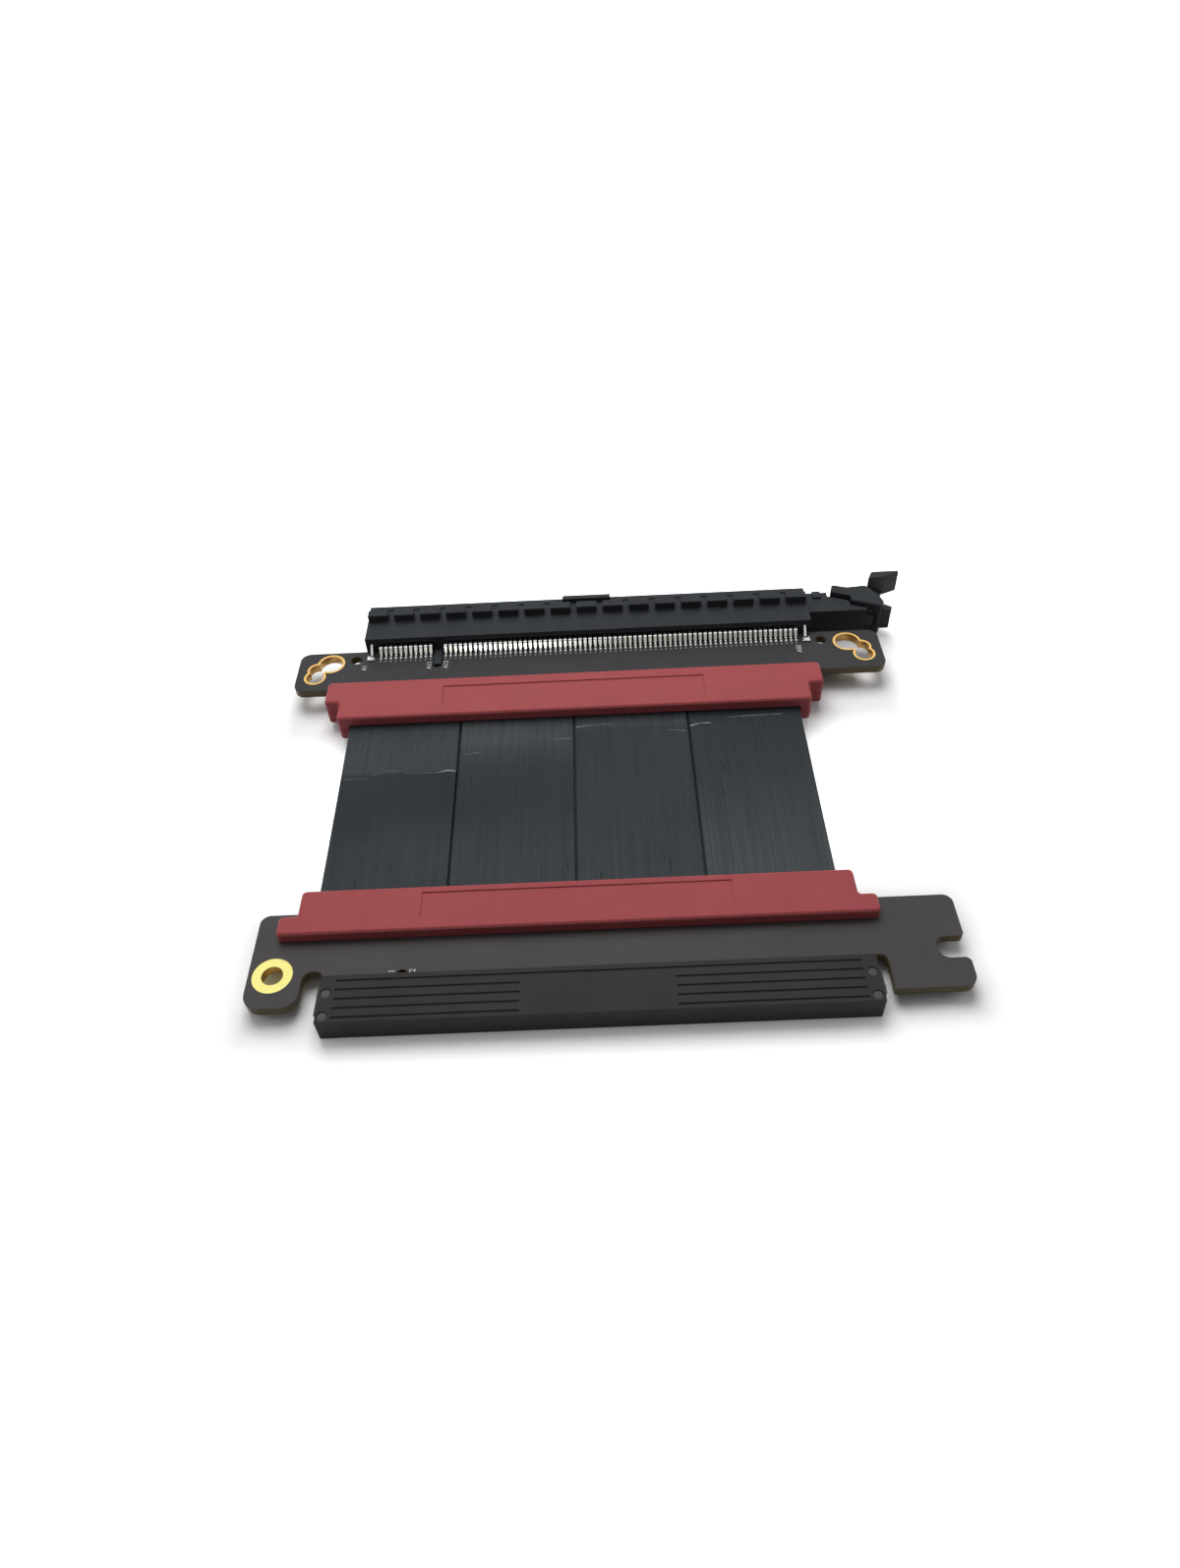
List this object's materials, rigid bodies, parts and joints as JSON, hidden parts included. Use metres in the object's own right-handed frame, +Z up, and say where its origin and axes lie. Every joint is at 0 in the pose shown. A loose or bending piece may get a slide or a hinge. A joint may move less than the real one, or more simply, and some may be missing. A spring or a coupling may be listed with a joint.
{
  "type": "card slot extension cable",
  "caption": "Flat extension cable for an expansion card: black ribbon cables join a latched card slot on a board to a card-edge plug with a pull-off cap, under red covers.",
  "frame": {"origin": "on the table under the middle of the plug's cover, in line with the middle of the contact rows", "axes": "+X along the contact rows towards the latch, +Y from the plug to the slot, +Z up"},
  "size_m": [0.1236, 0.1027, 0.0092],
  "materials": {
    "cover_red": "fine matt red moulding",
    "board_black": "satin black solder mask",
    "slot_black": "satin black moulding",
    "latch_black": "satin black moulding",
    "ribbon_black": "soft black cable sheath with fine ridges",
    "cap_black": "satin black moulding",
    "gold_plating": "bright gold plating",
    "tinned_metal": "bright tin plating"
  },
  "bodies": {
    "cable": {"socket_cover_upper": "cover_red", "socket_cover_lower": "cover_red", "plug_cover_upper": "cover_red", "plug_cover_lower": "cover_red", "socket_board": "board_black", "plug_board": "board_black", "socket_housing": "slot_black", "ribbon_upper_1": "ribbon_black", "ribbon_upper_2": "ribbon_black", "ribbon_upper_3": "ribbon_black", "ribbon_upper_4": "ribbon_black", "ribbon_lower_1": "ribbon_black", "ribbon_lower_2": "ribbon_black", "ribbon_lower_3": "ribbon_black", "ribbon_lower_4": "ribbon_black", "mount_plating_left": "gold_plating", "mount_plating_right": "gold_plating", "ground_ring": "gold_plating", "edge_fingers_upper": "gold_plating", "edge_fingers_lower": "gold_plating", "socket_contacts_upper": "tinned_metal", "socket_contacts_lower": "tinned_metal", "board_lock_left": "tinned_metal", "board_lock_right": "tinned_metal"},
    "latch": {"latch": "latch_black"},
    "edge_cap": {"edge_cap": "cap_black"}
  },
  "joints": [
    {"name": "latch_pivot", "type": "hinge", "parent": "cable", "child": "latch", "pos_m": [0.0574, 0.0706, 0.0038], "axis": [0, 0, 1], "range_deg": [-25, 0]},
    {"name": "cap_pull", "type": "slide", "parent": "cable", "child": "edge_cap", "axis": [0, -1, 0], "range_m": [0, 0.012]}
  ]
}
